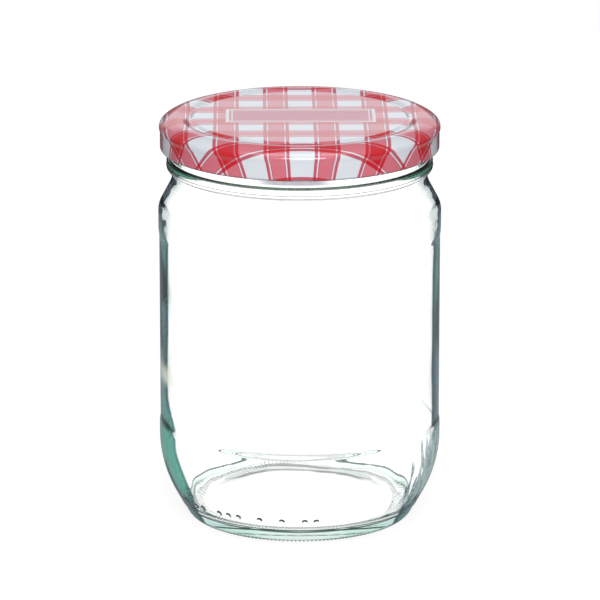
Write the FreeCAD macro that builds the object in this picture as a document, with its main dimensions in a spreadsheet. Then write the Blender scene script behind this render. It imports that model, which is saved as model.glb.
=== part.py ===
"""Preserving jar with a twist-off lid, as a parametric FreeCAD document.

Three pieces, each turned about the Z axis, with Z = 0 at the bearing ring:
  jar           pressed-and-blown glass jar with a recessed label panel
  lid           drawn tinplate cap with a rolled curl and inward lugs
  sealing_ring  flowed-in liner between the lid's channel and the glass rim
All lengths are in millimetres and all angles in degrees.
"""
import FreeCAD, Part
import math
import os
import Sketcher

SHEET = "Sizes"

# Driving dimensions: alias, value, meaning.
SIZES = [
    # glass, outside
    ("body_radius", 52.0, "contact rings above and below the label panel"),
    ("panel_radius", 51.57, "recessed label panel"),
    ("corner_radius", 3.4, "bearing corner at the foot"),
    ("heel_angle", 28.65, "lean of the straight part of the heel from upright"),
    ("heel_radius", 44.0, "round of the heel"),
    ("heel_top", 31.0, "height where the heel becomes upright"),
    ("plate_top", 5.2, "height of the bottom plate's parting step"),
    ("plate_step", 0.25, "inset of the glass below the parting step"),
    ("low_ring_top", 35.0, "top of the lower contact ring"),
    ("panel_low", 39.0, "bottom of the label panel, above a soft step"),
    ("panel_high", 107.5, "top of the label panel, below a soft step"),
    ("high_ring_low", 111.5, "bottom of the upper contact ring"),
    ("shoulder_low", 115.85, "height where the shoulder starts"),
    ("shoulder_radius", 7.0, "round of the shoulder"),
    ("shoulder_slope", 28.0, "lean of the shoulder cone from upright"),
    ("neck_fillet", 8.0, "hollow round below the neck"),
    ("neck_radius", 46.95, "neck under the bead"),
    ("bead_low", 131.0, "underside of the transfer bead"),
    ("bead_rise", 0.6, "rise of the bead's sloping underside"),
    ("bead_high", 135.9, "top of the transfer bead"),
    ("bead_radius", 48.85, "transfer bead"),
    ("bead_round", 1.1, "round of the bead's edges"),
    ("parting_height", 133.2, "fine parting line on the bead"),
    ("parting_half", 0.2, "half of the parting line's width"),
    ("parting_proud", 0.12, "height of the parting line above the bead"),
    ("finish_radius", 47.6, "wall of the finish that carries the thread starts"),
    ("rim_top", 149.9, "sealing surface of the glass"),
    ("rim_round", 1.0, "outer round of the sealing rim"),
    # glass, inside
    ("inner_radius", 49.3, "inside of the body"),
    ("inner_corner_angle", 31.3, "where the inner heel turns into the floor corner"),
    ("inner_corner_radius", 9.0, "floor corner"),
    ("floor_slope", 5.0, "rise of the floor towards its middle"),
    ("crown_radius", 14.0, "rounded middle of the floor"),
    ("inner_shoulder_low", 115.1, "height where the inner shoulder starts"),
    ("inner_shoulder_radius", 9.0, "inner round of the shoulder"),
    ("inner_neck_fillet", 10.5, "inner round below the neck"),
    ("bore_radius", 44.5, "mouth of the jar"),
    ("lip_round", 0.8, "inner round of the sealing rim"),
    # glass, underside
    ("foot_inner", 36.6, "inner edge of the bearing ring"),
    ("foot_run", 1.4, "width of the sloping step inside the bearing ring"),
    ("foot_rise", 1.4, "height of that step"),
    ("push_up", 3.6, "height of the underside at its middle"),
    # thread starts and lugs
    ("lug_count", 8, "thread starts on the glass and lugs on the lid"),
    ("start_angle", 30.0, "arc of one thread start"),
    ("start_tilt", 2.0, "climb of a thread start"),
    ("start_height", 142.1, "middle height of a thread start"),
    ("start_crest", 49.4, "crest radius of a thread start"),
    ("start_root", 47.2, "root radius, inside the finish wall"),
    ("root_below", 1.2, "underside of a start at its root, below its middle height"),
    ("crest_below", 0.7, "underside of a start at its crest, below its middle height"),
    ("crest_above", 0.1, "top of a start at its crest, above its middle height"),
    ("root_above", 1.3, "top of a start at its root, above its middle height"),
    ("lug_angle", 11.0, "arc of one lug"),
    ("lug_tip", 48.2, "inner edge of a lug"),
    ("lug_low", 139.4, "underside of a lug"),
    ("lug_high", 140.9, "top face of a lug"),
    ("lug_chamfer_up", 0.3, "height of the bevel under a lug's tip"),
    ("lug_chamfer_in", 0.5, "width of the bevel under a lug's tip"),
    # mould dots
    ("dot_radius", 1.25, "sphere that forms a dot"),
    ("dot_proud", 0.45, "height of a dot above the heel"),
    ("dot_first", 7.5, "bearing of the first dot from the front"),
    ("dot_step", 5.18, "angle between dot places"),
    # lid
    ("sheet_gauge", 0.25, "thickness of the coated tinplate"),
    ("lid_top", 151.0, "crest of the lid's rim"),
    ("crest_at", 45.0, "radius of the crest"),
    ("crest_radius", 8.95, "flat round of the crest"),
    ("crest_turn", 40.0, "where the crest gives way to the shoulder round"),
    ("edge_radius", 2.23, "shoulder round of the lid"),
    ("groove_slope", 26.0, "slope of both sides of the ring groove"),
    ("groove_round", 1.6, "rounds of the ring groove"),
    ("panel_drop", 0.3, "drop of the lid's middle panel below the crest"),
    ("skirt_radius", 51.2, "skirt of the lid"),
    ("bulge_depth", 0.4, "straight part of the bulge below the shoulder"),
    ("bulge_fade", 0.9, "height over which the bulge runs out into the skirt"),
    ("curl_radius", 0.8, "rolled edge"),
    ("lid_low", 139.2, "lowest point of the lid"),
    # sealing ring
    ("liner_inner", 42.4, "inner edge of the liner"),
    ("liner_outer", 48.2, "outer edge of the liner"),
]

# Places on the heel that carry a dot, counted from the first.
DOT_PLACES = (0, 1, 3, 5, 7, 8, 9, 11, 12)


def add_sheet(doc):
    """Write the driving dimensions into a spreadsheet with an alias on each value."""
    sheet = doc.addObject("Spreadsheet::Sheet", SHEET)
    for row, (alias, value, meaning) in enumerate(SIZES, start=1):
        sheet.set(f"A{row}", alias)
        sheet.set(f"B{row}", str(value))
        sheet.setAlias(f"B{row}", alias)
        sheet.set(f"C{row}", meaning)
    doc.recompute()
    return sheet


def with_sheet(expression):
    """Put the sheet's name before each alias in an expression."""
    names = {alias for alias, _value, _meaning in SIZES}
    out = []
    word = ""
    for sign in expression + " ":
        if sign.isalnum() or sign == "_":
            word += sign
            continue
        out.append(f"{SHEET}.{word}" if word in names else word)
        out.append(sign)
        word = ""
    return "".join(out).strip()


def value_of(sheet, expression):
    """Work out an expression of aliases as a plain number."""
    result = sheet.evalExpression(with_sheet(expression))
    return float(getattr(result, "Value", result))


class Outline:
    """A closed sketch outline whose corners and radii are bound to the sheet.

    Corners are pairs of expressions: distance from the axis, and height.
    """

    def __init__(self, sheet, sketch, start):
        self.sheet = sheet
        self.sketch = sketch
        self.corners = [start]
        self.edges = []

    def line(self, across, up):
        self.corners.append((across, up))
        self.edges.append(None)

    def arc(self, across, up, radius, turn):
        """Arc to a corner; turn is 1 for anticlockwise and -1 for clockwise."""
        self.corners.append((across, up))
        self.edges.append((radius, turn))

    def point(self, index):
        across, up = self.corners[index]
        return FreeCAD.Vector(value_of(self.sheet, across), value_of(self.sheet, up), 0)

    def make_arc(self, begin, end, radius, turn):
        """Arc of under half a turn between two points."""
        middle = (begin + end) * 0.5
        chord = end - begin
        depth = math.sqrt(max(radius * radius - chord.Length ** 2 / 4, 0.0))
        side = FreeCAD.Vector(-chord.y, chord.x, 0).normalize()
        centre = middle + side * (depth * turn)
        first, last = (begin, end) if turn > 0 else (end, begin)
        start_angle = math.atan2(first.y - centre.y, first.x - centre.x)
        end_angle = math.atan2(last.y - centre.y, last.x - centre.x)
        circle = Part.Circle(centre, FreeCAD.Vector(0, 0, 1), radius)
        return Part.ArcOfCircle(circle, start_angle, end_angle)

    def bind(self, kind, where, expression):
        """Add a dimension and tie it to the sheet, or put the point on an axis."""
        index = self.sketch.ConstraintCount
        if kind == "Radius":
            value = value_of(self.sheet, expression)
            self.sketch.addConstraint(Sketcher.Constraint("Radius", where, value))
        else:
            if expression == "0":
                axis = -2 if kind == "DistanceX" else -1
                self.sketch.addConstraint(Sketcher.Constraint("PointOnObject", *where, axis))
                return
            value = value_of(self.sheet, expression)
            self.sketch.addConstraint(Sketcher.Constraint(kind, -1, 1, *where, value))
        name = f"size_{index}"
        self.sketch.renameConstraint(index, name)
        self.sketch.setExpression(f"Constraints.{name}", with_sheet(expression))

    def close(self):
        """Draw the edges, join them and bind every corner and radius."""
        self.edges.append(None)
        count = len(self.corners)
        ends = []
        for index, edge in enumerate(self.edges):
            begin = self.point(index)
            end = self.point((index + 1) % count)
            if edge is None:
                geometry = self.sketch.addGeometry(Part.LineSegment(begin, end))
                ends.append((geometry, 1, 2))
            else:
                radius = value_of(self.sheet, edge[0])
                geometry = self.sketch.addGeometry(self.make_arc(begin, end, radius, edge[1]))
                ends.append((geometry, 1, 2) if edge[1] > 0 else (geometry, 2, 1))
        for index in range(count):
            geometry, _first, last = ends[index]
            after, first, _last = ends[(index + 1) % count]
            join = Sketcher.Constraint("Coincident", geometry, last, after, first)
            self.sketch.addConstraint(join)
        for index, (across, up) in enumerate(self.corners):
            geometry, first, _last = ends[index]
            self.bind("DistanceX", (geometry, first), across)
            self.bind("DistanceY", (geometry, first), up)
        for index, edge in enumerate(self.edges):
            if edge is not None:
                self.bind("Radius", ends[index][0], edge[0])


def add_body(doc, label):
    body = doc.addObject("PartDesign::Body", label.title().replace("_", ""))
    body.Label = label
    body.Placement = FreeCAD.Placement()
    return body


def origin_feature(body, role):
    return next(item for item in body.Origin.OriginFeatures if item.Role == role)


def upright_sketch(body, name):
    """Sketch on the body's XZ plane: across is the radius, up is the height."""
    sketch = body.newObject("Sketcher::SketchObject", name)
    sketch.AttachmentSupport = (origin_feature(body, "XZ_Plane"), [""])
    sketch.MapMode = "FlatFace"
    return sketch


def turn_profile(body, kind, name, sketch, angle="360"):
    """Revolution or Groove of a sketch about its own upright axis."""
    feature = body.newObject(f"PartDesign::{kind}", name)
    feature.Profile = sketch
    feature.ReferenceAxis = (sketch, ["V_Axis"])
    feature.setExpression("Angle", with_sheet(angle))
    feature.Midplane = angle != "360"
    body.Tip = feature
    return feature


def repeat_round(body, name, feature):
    """Polar pattern, one for each thread start or lug."""
    pattern = body.newObject("PartDesign::PolarPattern", name)
    pattern.Originals = [feature]
    pattern.Axis = (origin_feature(body, "Z_Axis"), [""])
    pattern.Angle = 360
    pattern.setExpression("Occurrences", with_sheet("lug_count"))
    body.Tip = pattern
    return pattern


# Expressions that several outlines share.
HEEL_IN = "heel_radius * (1 - cos(heel_angle))"
HEEL_END_R = f"(body_radius - {HEEL_IN})"
HEEL_END_Z = "(heel_top - heel_radius * sin(heel_angle))"


def glass_outside(sheet, sketch):
    """Right-hand half of the jar's outer form, from the foot up to the sealing rim."""
    foot_corner = f"({HEEL_END_R} - {HEEL_END_Z} * tan(heel_angle) - plate_step)"
    reach = "corner_radius * tan(45 - heel_angle / 2)"
    step_r = f"{HEEL_END_R} - ({HEEL_END_Z} - plate_top) * tan(heel_angle)"
    shoulder_r = "(body_radius - shoulder_radius * (1 - cos(shoulder_slope)))"
    shoulder_z = "(shoulder_low + shoulder_radius * sin(shoulder_slope))"
    neck_r = "(neck_radius + neck_fillet * (1 - cos(shoulder_slope)))"
    neck_z = f"({shoulder_z} + ({shoulder_r} - {neck_r}) / tan(shoulder_slope))"
    outline = Outline(sheet, sketch, ("0", "0"))
    outline.line(f"{foot_corner} - {reach}", "0")
    outline.arc(f"{foot_corner} + {reach} * sin(heel_angle)",
                f"{reach} * cos(heel_angle)", "corner_radius", 1)
    outline.line(f"{step_r} - plate_step", "plate_top")
    outline.line(step_r, "plate_top")
    outline.line(HEEL_END_R, HEEL_END_Z)
    outline.arc("body_radius", "heel_top", "heel_radius", 1)
    outline.line("body_radius", "low_ring_top")
    outline.line("panel_radius", "panel_low")
    outline.line("panel_radius", "panel_high")
    outline.line("body_radius", "high_ring_low")
    outline.line("body_radius", "shoulder_low")
    outline.arc(shoulder_r, shoulder_z, "shoulder_radius", 1)
    outline.line(neck_r, neck_z)
    outline.arc("neck_radius", f"{neck_z} + neck_fillet * sin(shoulder_slope)", "neck_fillet", -1)
    outline.line("neck_radius", "bead_low")
    outline.line("bead_radius - bead_round", "bead_low + bead_rise")
    outline.arc("bead_radius", "bead_low + bead_rise + bead_round", "bead_round", 1)
    outline.line("bead_radius", "parting_height - parting_half")
    outline.line("bead_radius + parting_proud", "parting_height")
    outline.line("bead_radius", "parting_height + parting_half")
    outline.line("bead_radius", "bead_high - bead_round")
    outline.arc("bead_radius - bead_round", "bead_high", "bead_round", 1)
    outline.line("finish_radius", "bead_high")
    outline.line("finish_radius", "rim_top - rim_round")
    outline.arc("finish_radius - rim_round", "rim_top", "rim_round", 1)
    outline.line("0", "rim_top")
    outline.close()


def glass_inside(sheet, sketch):
    """Right-hand half of the jar's cavity, from the floor up through the mouth."""
    wall = "(body_radius - inner_radius)"
    corner_offset = f"(heel_radius - {wall} - inner_corner_radius)"
    corner_r = f"(body_radius - heel_radius + {corner_offset} * cos(inner_corner_angle))"
    corner_z = f"(heel_top - {corner_offset} * sin(inner_corner_angle))"
    floor_r = f"({corner_r} - inner_corner_radius * sin(floor_slope))"
    floor_z = f"({corner_z} - inner_corner_radius * cos(floor_slope))"
    crown_z = f"({floor_z} + ({floor_r} - crown_radius) * tan(floor_slope))"
    shoulder_r = "(inner_radius - inner_shoulder_radius * (1 - cos(shoulder_slope)))"
    shoulder_z = "(inner_shoulder_low + inner_shoulder_radius * sin(shoulder_slope))"
    neck_r = "(bore_radius + inner_neck_fillet * (1 - cos(shoulder_slope)))"
    neck_z = f"({shoulder_z} + ({shoulder_r} - {neck_r}) / tan(shoulder_slope))"
    outline = Outline(sheet, sketch, ("0", f"{crown_z} + crown_radius * tan(floor_slope / 2)"))
    outline.arc("crown_radius", crown_z, "crown_radius / sin(floor_slope)", -1)
    outline.line(floor_r, floor_z)
    outline.arc(f"{corner_r} + inner_corner_radius * cos(inner_corner_angle)",
                f"{corner_z} - inner_corner_radius * sin(inner_corner_angle)",
                "inner_corner_radius", 1)
    outline.arc("inner_radius", "heel_top", f"heel_radius - {wall}", 1)
    outline.line("inner_radius", "inner_shoulder_low")
    outline.arc(shoulder_r, shoulder_z, "inner_shoulder_radius", 1)
    outline.line(neck_r, neck_z)
    outline.arc("bore_radius", f"{neck_z} + inner_neck_fillet * sin(shoulder_slope)",
                "inner_neck_fillet", -1)
    outline.line("bore_radius", "rim_top - lip_round")
    outline.arc("bore_radius + lip_round", "rim_top", "lip_round", -1)
    outline.line("bore_radius + lip_round", "rim_top + lip_round")
    outline.line("0", "rim_top + lip_round")
    outline.close()


def glass_underside(sheet, sketch):
    """Right-hand half of the hollow under the floor, inside the bearing ring."""
    dome_edge = "(foot_inner - foot_run)"
    dome_rise = "(push_up - foot_rise)"
    dome_radius = f"({dome_edge} ^ 2 + {dome_rise} ^ 2) / (2 * {dome_rise})"
    outline = Outline(sheet, sketch, ("0", "-foot_rise"))
    outline.line("foot_inner", "-foot_rise")
    outline.line("foot_inner", "0")
    outline.line(dome_edge, "foot_rise")
    outline.arc("0", "push_up", dome_radius, 1)
    outline.close()


def thread_section(sheet, sketch):
    """Section of a thread start: blunt, with a steeper top than underside."""
    outline = Outline(sheet, sketch, ("start_root", "start_height - root_below"))
    outline.line("start_crest", "start_height - crest_below")
    outline.line("start_crest", "start_height + crest_above")
    outline.line("start_root", "start_height + root_above")
    outline.close()


def add_dots(sheet, body):
    """Plain mould dots in a row along the heel."""
    sunk = "(dot_radius - dot_proud)"
    radius = f"({HEEL_END_R} - {sunk} * cos(heel_angle))"
    height = f"{HEEL_END_Z} + {sunk} * sin(heel_angle)"
    for place in DOT_PLACES:
        bearing = f"(dot_first - dot_step * {place})"
        dot = body.newObject("PartDesign::AdditiveSphere", f"Dot{place}")
        dot.setExpression("Radius", with_sheet("dot_radius"))
        dot.setExpression("Placement.Base.x", with_sheet(f"{radius} * sin({bearing})"))
        dot.setExpression("Placement.Base.y", with_sheet(f"-{radius} * cos({bearing})"))
        dot.setExpression("Placement.Base.z", with_sheet(height))
        body.Tip = dot


def make_jar(doc, sheet):
    body = add_body(doc, "jar")
    outside = upright_sketch(body, "GlassOutside")
    glass_outside(sheet, outside)
    turn_profile(body, "Revolution", "OuterForm", outside)
    section = upright_sketch(body, "ThreadSection")
    section.setExpression("AttachmentOffset.Rotation.Angle", with_sheet("start_tilt"))
    section.AttachmentOffset = FreeCAD.Placement(
        FreeCAD.Vector(), FreeCAD.Rotation(FreeCAD.Vector(1, 0, 0), value_of(sheet, "start_tilt")))
    thread_section(sheet, section)
    start = turn_profile(body, "Revolution", "ThreadStart", section, "start_angle")
    doc.recompute()
    repeat_round(body, "ThreadStarts", start)
    add_dots(sheet, body)
    inside = upright_sketch(body, "GlassInside")
    glass_inside(sheet, inside)
    turn_profile(body, "Groove", "Cavity", inside)
    underside = upright_sketch(body, "GlassUnderside")
    glass_underside(sheet, underside)
    turn_profile(body, "Groove", "PushUp", underside)
    return body


def lid_face(inset):
    """Corners of one face of the lid's sheet, from the middle out to the curl.

    inset is 0 for the printed face and the sheet's gauge for the inner face.
    Each entry is (across, up, radius, turn), with None for a straight edge.
    """
    crest_r = f"(crest_radius - {inset})"
    crest_z = "(lid_top - crest_radius)"
    outward = f"(groove_round - {inset})"
    inward = f"(groove_round + {inset})"
    groove_r = "(crest_at - (crest_radius + groove_round) * sin(groove_slope))"
    groove_z = f"({crest_z} + (crest_radius + groove_round) * cos(groove_slope))"
    panel_z = "(lid_top - panel_drop - groove_round)"
    ramp = (f"(({panel_z} - {groove_z} + 2 * groove_round * cos(groove_slope))"
            " / tan(groove_slope))")
    panel_r = f"({groove_r} - 2 * groove_round * sin(groove_slope) - {ramp})"
    edge_r = "(crest_at + (crest_radius - edge_radius) * sin(crest_turn))"
    edge_z = f"({crest_z} + (crest_radius - edge_radius) * cos(crest_turn))"
    side = f"({edge_r} + edge_radius - {inset})"
    skirt = f"(skirt_radius - {inset})"
    curl_r = "(skirt_radius - curl_radius)"
    curl_z = "(lid_low + curl_radius)"
    roll = f"(curl_radius - {inset})"
    return [
        ("0", f"lid_top - panel_drop - {inset}", None, 0),
        (panel_r, f"lid_top - panel_drop - {inset}", None, 0),
        (f"{panel_r} + {outward} * sin(groove_slope)",
         f"{panel_z} + {outward} * cos(groove_slope)", outward, -1),
        (f"{groove_r} - {inward} * sin(groove_slope)",
         f"{groove_z} - {inward} * cos(groove_slope)", None, 0),
        (f"{groove_r} + {inward} * sin(groove_slope)",
         f"{groove_z} - {inward} * cos(groove_slope)", inward, 1),
        (f"crest_at + {crest_r} * sin(crest_turn)",
         f"{crest_z} + {crest_r} * cos(crest_turn)", crest_r, -1),
        (side, edge_z, f"(edge_radius - {inset})", -1),
        (side, f"{edge_z} - bulge_depth", None, 0),
        (skirt, f"{edge_z} - bulge_depth - bulge_fade", None, 0),
        (skirt, curl_z, None, 0),
        (curl_r, f"{curl_z} - {roll}", roll, -1),
        (f"{curl_r} - {roll}", curl_z, roll, -1),
        (curl_r, f"{curl_z} + {roll}", roll, -1),
    ]


def lid_section(sheet, sketch):
    """Thin section of the lid: out along the printed face and back along the inner one."""
    printed = lid_face("0")
    inner = lid_face("sheet_gauge")
    outline = Outline(sheet, sketch, printed[0][:2])
    for across, up, radius, turn in printed[1:]:
        if radius is None:
            outline.line(across, up)
        else:
            outline.arc(across, up, radius, turn)
    outline.line(*inner[-1][:2])
    for index in range(len(inner) - 1, 0, -1):
        across, up = inner[index - 1][:2]
        radius, turn = inner[index][2:]
        if radius is None:
            outline.line(across, up)
        else:
            outline.arc(across, up, radius, -turn)
    outline.close()


def lug_section(sheet, sketch):
    """Section of a lug: the curl pressed flat and inward."""
    root = "(skirt_radius - curl_radius)"
    outline = Outline(sheet, sketch, ("lug_tip", "lug_low + lug_chamfer_up"))
    outline.line("lug_tip + lug_chamfer_in", "lug_low")
    outline.line(root, "lug_low")
    outline.line(root, "lug_high")
    outline.line("lug_tip", "lug_high")
    outline.close()


def make_lid(doc, sheet):
    body = add_body(doc, "lid")
    section = upright_sketch(body, "LidSection")
    lid_section(sheet, section)
    turn_profile(body, "Revolution", "DrawnCap", section)
    lug = upright_sketch(body, "LugSection")
    lug_section(sheet, lug)
    first = turn_profile(body, "Revolution", "Lug", lug, "lug_angle")
    doc.recompute()
    repeat_round(body, "Lugs", first)
    return body


def liner_section(sheet, sketch):
    """Section of the liner: flat on the glass rim, round against the lid."""
    under = "(crest_radius - sheet_gauge)"
    middle = "(lid_top - crest_radius)"
    inner_top = f"{middle} + sqrt({under} ^ 2 - (crest_at - liner_inner) ^ 2)"
    outer_top = f"{middle} + sqrt({under} ^ 2 - (liner_outer - crest_at) ^ 2)"
    outline = Outline(sheet, sketch, ("liner_inner", "rim_top"))
    outline.line("liner_outer", "rim_top")
    outline.line("liner_outer", outer_top)
    outline.arc("liner_inner", inner_top, under, 1)
    outline.close()


def make_sealing_ring(doc, sheet):
    body = add_body(doc, "sealing_ring")
    section = upright_sketch(body, "LinerSection")
    liner_section(sheet, section)
    turn_profile(body, "Revolution", "Liner", section)
    return body


def check(doc, parts):
    """Stop if an object failed or a piece isn't one valid solid."""
    for item in doc.Objects:
        if "Invalid" in item.State or "Error" in item.State:
            raise RuntimeError(f"{item.Label} failed: {item.State}")
    for part in parts:
        shape = part.Shape
        if shape.isNull() or not shape.isValid():
            raise RuntimeError(f"{part.Label} has no valid shape")
        if len(shape.Solids) != 1:
            raise RuntimeError(f"{part.Label} has {len(shape.Solids)} solids")


def main():
    doc = FreeCAD.newDocument("PreservingJar")
    sheet = add_sheet(doc)
    parts = [make_jar(doc, sheet), make_lid(doc, sheet), make_sealing_ring(doc, sheet)]
    doc.recompute()
    check(doc, parts)
    os.makedirs("parts", exist_ok=True)
    for part in parts:
        part.Shape.exportStep(f"parts/{part.Label}.step")
        box = part.Shape.BoundBox
        print(f"{part.Label}: {part.Shape.Volume / 1000:.2f} cm3,"
              f" z {box.ZMin:.2f} to {box.ZMax:.2f}, width {box.XLength:.2f}")


main()
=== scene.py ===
"""Looks of the preserving jar: clear glass, a printed twist-off lid and its sealing ring.

Lengths are in millimetres, and are scaled to metres when a mesh is made. Those of the
studio and the camera are in metres.
"""
import math

import bpy
import numpy as np
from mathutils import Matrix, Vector


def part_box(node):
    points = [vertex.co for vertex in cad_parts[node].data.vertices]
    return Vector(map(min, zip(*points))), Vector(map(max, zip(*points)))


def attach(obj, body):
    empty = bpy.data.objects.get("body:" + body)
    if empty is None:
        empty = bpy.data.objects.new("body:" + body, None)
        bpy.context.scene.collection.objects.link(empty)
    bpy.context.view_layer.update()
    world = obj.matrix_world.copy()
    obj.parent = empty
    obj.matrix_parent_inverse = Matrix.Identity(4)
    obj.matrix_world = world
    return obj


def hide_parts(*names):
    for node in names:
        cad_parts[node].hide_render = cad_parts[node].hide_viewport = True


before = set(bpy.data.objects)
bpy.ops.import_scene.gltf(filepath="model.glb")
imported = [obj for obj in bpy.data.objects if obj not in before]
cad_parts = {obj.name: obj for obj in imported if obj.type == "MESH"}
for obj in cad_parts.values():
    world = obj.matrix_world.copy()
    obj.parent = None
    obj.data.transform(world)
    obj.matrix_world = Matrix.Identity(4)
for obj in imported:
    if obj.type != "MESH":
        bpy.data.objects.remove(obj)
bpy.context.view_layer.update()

MM = 0.001
CLOSE = 0.01             # slack in comparing two sizes
ON_AXIS = 1e-6           # a ring with a smaller radius is a point

# ---------------------------------------------------------------- sizes of the glass
BODY_R = 52.0
LOW_RING_TOP = 34.8      # the label panel lies between two contact rings
PANEL_LOW = 37.6
PANEL_HIGH = 106.0
HIGH_RING_LOW = 109.4
PANEL_R = 51.7
HEEL_R = 44.0            # the heel's curve, from upright down to the slope of the foot
HEEL_ANGLE = 28.65
HEEL_TOP = 31.0
CORNER_R = 3.4           # rounding from the foot to the underside
PLATE_TOP = 5.2          # seam of the mould's bottom plate
PLATE_STEP = 0.25
SHOULDER_LOW = 115.85
SHOULDER_R = 7.0
SHOULDER_SLOPE = 28.0    # from upright
NECK_FILLET = 8.0
NECK_R = 46.95
BEAD_R = 48.85           # transfer bead under the lid
BEAD_LOW = 131.0
BEAD_RISE = 0.6
BEAD_HIGH = 135.9
BEAD_ROUND = 1.1
SEAM = 133.2             # parting line of the neck ring, on the bead
SEAM_HALF = 0.2
SEAM_PROUD = 0.12
FINISH_R = 47.6
RIM_TOP = 149.9
RIM_ROUND = 1.0
FOOT_INNER = 38.4        # inner edge of the bearing ring
FOOT_RUN = 0.7
FOOT_RISE = 0.7
PUSH_UP = 3.6
INNER_R = 49.3
WALL = BODY_R - INNER_R
INNER_CORNER_ANGLE = 34.2
INNER_CORNER_R = 4.5
FLOOR_SLOPE = 5.0
CROWN_R = 14.0           # rounded middle of the inside floor
INNER_SHOULDER_LOW = 115.1
INNER_SHOULDER_R = 9.0
INNER_NECK_FILLET = 10.5
BORE_R = 44.5
LIP_ROUND = 0.8

STARTS = 8               # thread starts, and lugs of the lid
START_PITCH = 360.0 / STARTS
START_ANGLE = 30.0
START_TILT = 2.0
START_HEIGHT = 142.1
START_CREST = 49.4
START_LOW = (-1.2, -0.6)     # flanks of a start, from its middle line
START_HIGH = (1.3, 0.1)
START_REACH = 4.0            # more than its flanks and its climb
START_ENDS = (1.0, -2.0)     # its fade past and before each end, in degrees

DOT_R = 1.25
DOT_CROWN = 0.6          # share of the radius that is flat
DOT_PROUD = 0.5
DOT_FIRST = 7.5          # bearing of the first dot, and the angle between places
DOT_STEP = 5.18
DOT_PLACES = (0, 1, 3, 5, 7, 8, 9, 11, 12)
DOT_BAND_END = 26.0      # the heel's slope up to which its rings lie close

KNURLS = 168
KNURL_DEPTH = 0.6
KNURL_FADE = (1.6, 0.2)  # heights between which the grooves reach their depth
KNURL_BELOW = 2.0

COLUMNS = 2 * KNURLS
FINE_COLUMNS = 4 * COLUMNS
FINE_R = (36.0, 48.0)    # the foot and the dots take the fine columns
FINE_BELOW = 12.0

# Waves of the inner wall: depth, lobes round the jar, turn with each millimetre up, phase.
WAVES = ((0.10, 3, 0.045, 0.4), (0.08, 5, -0.083, 2.1), (0.05, 2, 0.16, 1.0),
         (0.035, 7, 0.24, 0.0))
STREAK_DEPTH = 0.05
STREAKS = 31             # lobes round the jar
STREAKS_BEND = (2.0, 3)  # they crowd together by a slower wave: depth and lobes
STREAKS_LEAN = 0.1
STREAKS_FADE = (9, 1)    # and come and go by another: lobes and phase
WAVES_LOW = (6, 12)      # heights over which the waves come in and die away
WAVES_HIGH = (126, 112)
STREAKS_HIGH = (36, 14)

# ---------------------------------------------------------------- sizes of the lid
GAUGE = 0.25
LID_TOP = 151.0
CREST_AT = 45.0          # radius of the crest's top
CREST_R = 8.95
CREST_TURN = 40.0
EDGE_R = 2.23
GROOVE_SLOPE = 24.5
GROOVE_ROUND = 1.6
PANEL_DROP = 0.3         # flat panel below the crest
SKIRT_R = 51.2
BULGE_DEPTH = 0.4
BULGE_FADE = 0.9
CURL_R = 0.8
LID_LOW = 139.2
LUG_ANGLE = 11.0
LUG_FADE = 1.2
LUG_TIP = 48.2
LID_COLUMNS = 384
DRAWN_FROM = 44.0        # distance out along the sheet past which drawing stretched it
DRAWN_SHARE = 0.125
SHEET_UNIT = 100.0       # millimetres of flat sheet in one unit of the UV map


def sin(degrees):
    return math.sin(math.radians(degrees))


def cos(degrees):
    return math.cos(math.radians(degrees))


def tan(degrees):
    return math.tan(math.radians(degrees))


# ---------------------------------------------------------------- outlines and turned meshes
class Outline:
    """Half section as (distance from the axis, height) points, with even spacing."""

    def __init__(self, start, spacing=1.0):
        self.points = [start]
        self.spacing = spacing

    def line(self, across, up, edge=0.08):
        """Straight run, with a point close to each end so that its corners stay crisp."""
        r0, z0 = self.points[-1]
        length = math.hypot(across - r0, up - z0)
        stops = [edge / length, 1 - edge / length] if 0 < 4 * edge < length else []
        inner = int(length / self.spacing)
        stops += [(k + 1) / (inner + 1) for k in range(inner)]
        for t in sorted(stops) + [1.0]:
            self.points.append((r0 + (across - r0) * t, z0 + (up - z0) * t))

    def ease(self, across, up, count=10):
        """Soft change of radius that starts and ends upright."""
        r0, z0 = self.points[-1]
        for k in range(1, count + 1):
            t = k / count
            share = t * t * (3 - 2 * t)
            self.points.append((r0 + (across - r0) * share, z0 + (up - z0) * t))

    def arc(self, centre, radius, begin, end, step=6.0):
        """Arc between two directions in degrees, counted from outward towards up."""
        count = max(2, int(abs(end - begin) / step),
                    int(abs(math.radians(end - begin)) * radius / self.spacing))
        for k in range(1, count + 1):
            a = begin + (end - begin) * k / count
            self.points.append((centre[0] + radius * cos(a), centre[1] + radius * sin(a)))


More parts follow.
